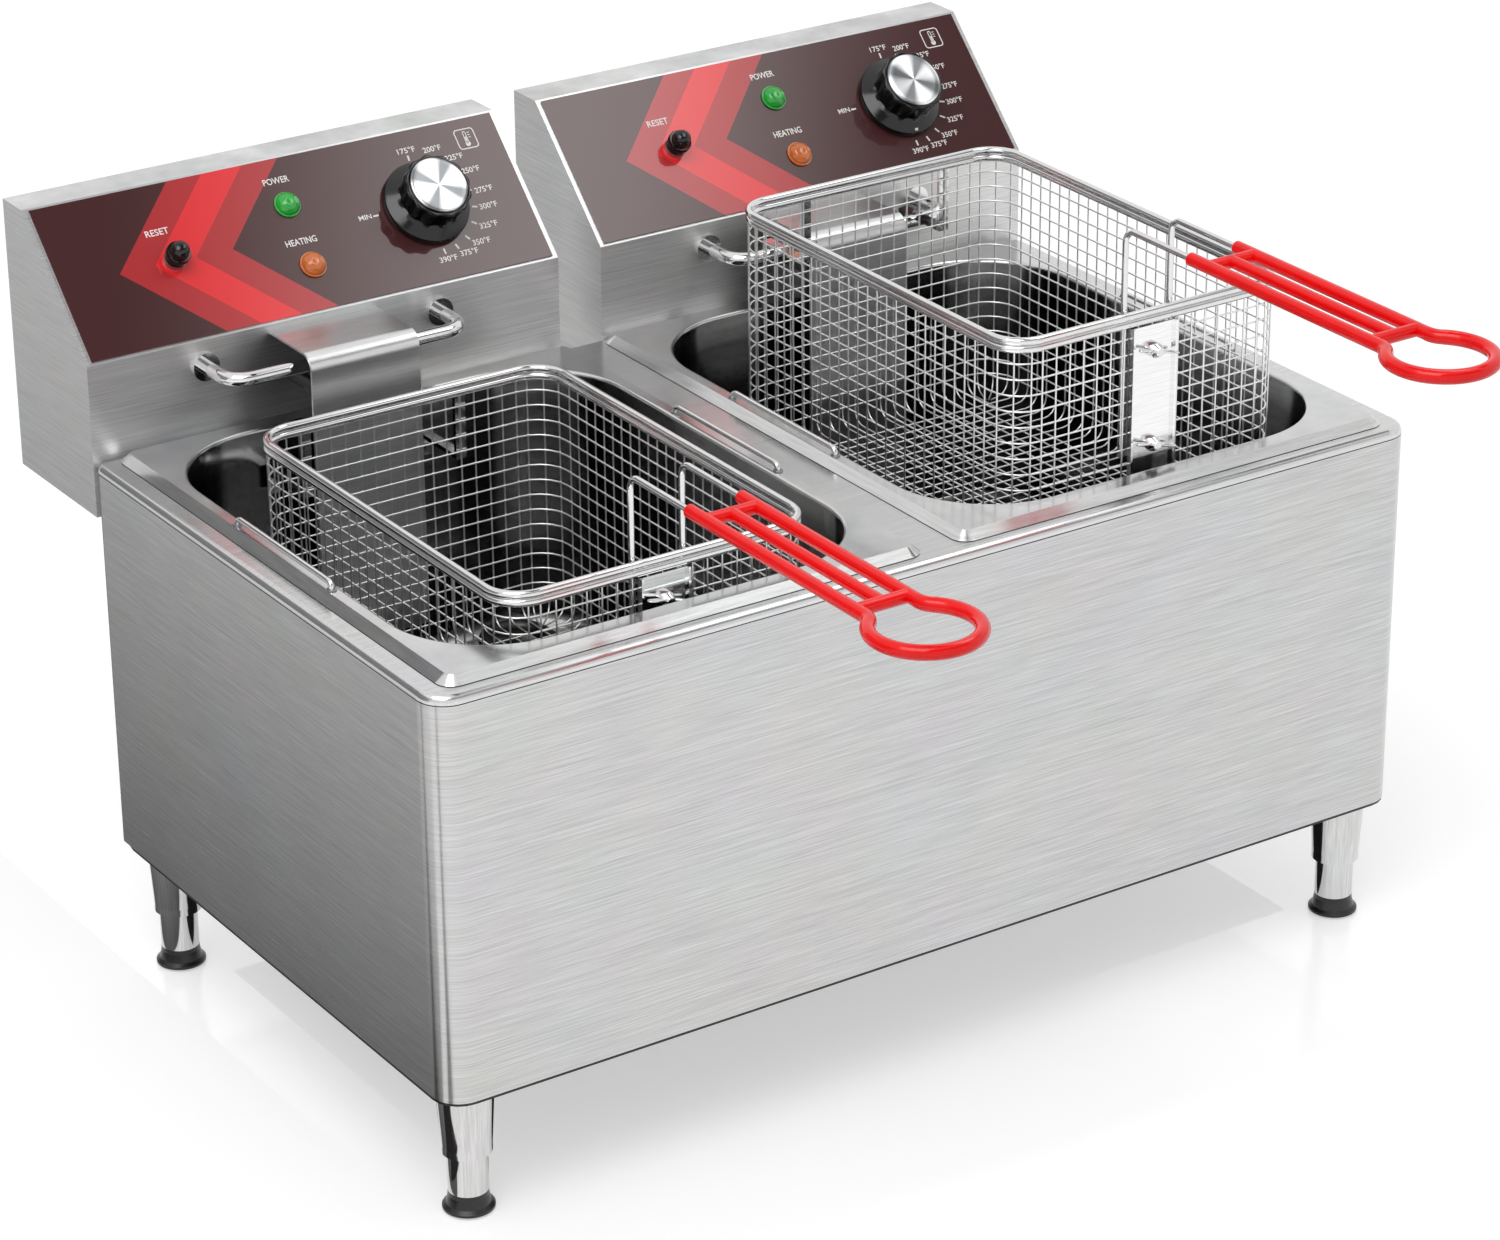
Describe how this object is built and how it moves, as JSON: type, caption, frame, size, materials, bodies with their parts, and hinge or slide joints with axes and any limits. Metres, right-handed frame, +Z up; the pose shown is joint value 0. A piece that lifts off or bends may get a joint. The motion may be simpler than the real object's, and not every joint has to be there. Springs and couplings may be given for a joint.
{
  "type": "deep fryer",
  "caption": "Countertop twin-tank electric deep fryer: steel cabinet on screw feet, lift-out pans, hanging wire baskets with coated handles, lift-off control heads.",
  "frame": {"origin": "centre of the footprint at floor level", "axes": "+X to the right as seen from the front, +Y from the basket handles to the control heads at the rear, +Z up"},
  "size_m": [0.58, 0.6464, 0.4143],
  "materials": {
    "brushed_sheet": "brushed",
    "polished_steel": "polished",
    "leg_steel": "satin",
    "bright_wire": "polished",
    "basket_wire": "bright",
    "plate_steel": "satin",
    "element_steel": "dark",
    "red_coating": "glossy",
    "panel_print": "glossy",
    "black_plastic": "glossy",
    "cap_aluminium": "radially brushed",
    "green_lens": "glossy",
    "orange_lens": "glossy",
    "pad_rubber": "glossy"
  },
  "bodies": {
    "cabinet": {"cabinet_shell": "brushed_sheet", "cabinet_back": "brushed_sheet", "cabinet_deck": "brushed_sheet", "base_plate": "brushed_sheet", "leg_sleeves": "leg_steel", "head_rails": "brushed_sheet"},
    "foot_fl": {"leg_tube_fl": "leg_steel", "foot_pad_fl": "pad_rubber"},
    "foot_fr": {"leg_tube_fr": "leg_steel", "foot_pad_fr": "pad_rubber"},
    "foot_bl": {"leg_tube_bl": "leg_steel", "foot_pad_bl": "pad_rubber"},
    "foot_br": {"leg_tube_br": "leg_steel", "foot_pad_br": "pad_rubber"},
    "left_tank_body": {"left_tank": "polished_steel", "left_eyelets": "bright_wire"},
    "left_pull_outer_body": {"left_pull_outer": "bright_wire"},
    "left_pull_inner_body": {"left_pull_inner": "bright_wire"},
    "left_head": {"left_head_shell": "brushed_sheet", "left_head_back": "brushed_sheet", "left_panel": "panel_print", "left_power_lamp": "green_lens", "left_heating_lamp": "orange_lens", "left_hanger_rod": "bright_wire", "left_guard": "brushed_sheet", "left_element": "element_steel", "left_thermostats": "black_plastic", "left_inlet": "black_plastic"},
    "left_dial": {"left_knob": "black_plastic", "left_knob_cap": "cap_aluminium"},
    "left_reset_button": {"left_reset": "black_plastic"},
    "left_basket": {"left_basket_mesh": "basket_wire", "left_basket_rim": "bright_wire", "left_basket_plate": "plate_steel", "left_basket_bolts": "bright_wire", "left_handle_wires": "bright_wire", "left_handle_grip": "red_coating"},
    "right_tank_body": {"right_tank": "polished_steel", "right_eyelets": "bright_wire"},
    "right_pull_outer_body": {"right_pull_outer": "bright_wire"},
    "right_pull_inner_body": {"right_pull_inner": "bright_wire"},
    "right_head": {"right_head_shell": "brushed_sheet", "right_head_back": "brushed_sheet", "right_panel": "panel_print", "right_power_lamp": "green_lens", "right_heating_lamp": "orange_lens", "right_hanger_rod": "bright_wire", "right_guard": "brushed_sheet", "right_element": "element_steel", "right_thermostats": "black_plastic", "right_inlet": "black_plastic"},
    "right_dial": {"right_knob": "black_plastic", "right_knob_cap": "cap_aluminium"},
    "right_reset_button": {"right_reset": "black_plastic"},
    "right_basket": {"right_basket_mesh": "basket_wire", "right_basket_rim": "bright_wire", "right_basket_plate": "plate_steel", "right_basket_bolts": "bright_wire", "right_handle_wires": "bright_wire", "right_handle_grip": "red_coating"}
  },
  "joints": [
    {"name": "foot_fl_height", "type": "slide", "parent": "cabinet", "child": "foot_fl", "axis": [0, 0, -1], "range_m": [0, 0.015]},
    {"name": "foot_fr_height", "type": "slide", "parent": "cabinet", "child": "foot_fr", "axis": [0, 0, -1], "range_m": [0, 0.015]},
    {"name": "foot_bl_height", "type": "slide", "parent": "cabinet", "child": "foot_bl", "axis": [0, 0, -1], "range_m": [0, 0.015]},
    {"name": "foot_br_height", "type": "slide", "parent": "cabinet", "child": "foot_br", "axis": [0, 0, -1], "range_m": [0, 0.015]},
    {"name": "left_tank_lift", "type": "slide", "parent": "cabinet", "child": "left_tank_body", "axis": [0, 0, 1], "range_m": [0, 0.16]},
    {"name": "left_pull_outer_slide", "type": "slide", "parent": "left_tank_body", "child": "left_pull_outer_body", "axis": [0, 0, 1], "range_m": [0, 0.022]},
    {"name": "left_pull_inner_slide", "type": "slide", "parent": "left_tank_body", "child": "left_pull_inner_body", "axis": [0, 0, 1], "range_m": [0, 0.022]},
    {"name": "left_head_lift", "type": "slide", "parent": "left_tank_body", "child": "left_head", "axis": [0, 0, 1], "range_m": [0, 0.18]},
    {"name": "left_dial_turn", "type": "hinge", "parent": "left_head", "child": "left_dial", "pos_m": [-0.07505, 0.2553, 0.3666], "axis": [0, 0.7071, -0.7071], "range_deg": [-134, 136]},
    {"name": "left_reset_press", "type": "slide", "parent": "left_head", "child": "left_reset_button", "axis": [0, 0.7071, -0.7071], "range_m": [0, 0.0025], "stiffness_N_per_m": 800, "springref_m": -0.002},
    {"name": "left_basket_lift", "type": "slide", "parent": "left_head", "child": "left_basket", "axis": [0, 0, 1], "range_m": [0, 0.05]},
    {"name": "right_tank_lift", "type": "slide", "parent": "cabinet", "child": "right_tank_body", "axis": [0, 0, 1], "range_m": [0, 0.16]},
    {"name": "right_pull_outer_slide", "type": "slide", "parent": "right_tank_body", "child": "right_pull_outer_body", "axis": [0, 0, 1], "range_m": [0, 0.022]},
    {"name": "right_pull_inner_slide", "type": "slide", "parent": "right_tank_body", "child": "right_pull_inner_body", "axis": [0, 0, 1], "range_m": [0, 0.022]},
    {"name": "right_head_lift", "type": "slide", "parent": "right_tank_body", "child": "right_head", "axis": [0, 0, 1], "range_m": [0, 0.18]},
    {"name": "right_dial_turn", "type": "hinge", "parent": "right_head", "child": "right_dial", "pos_m": [0.22825, 0.2553, 0.3666], "axis": [0, 0.7071, -0.7071], "range_deg": [-270, 0]},
    {"name": "right_reset_press", "type": "slide", "parent": "right_head", "child": "right_reset_button", "axis": [0, 0.7071, -0.7071], "range_m": [0, 0.0025], "stiffness_N_per_m": 800, "springref_m": -0.002},
    {"name": "right_basket_lift", "type": "slide", "parent": "right_head", "child": "right_basket", "axis": [0, 0, 1], "range_m": [0, 0.09]}
  ]
}
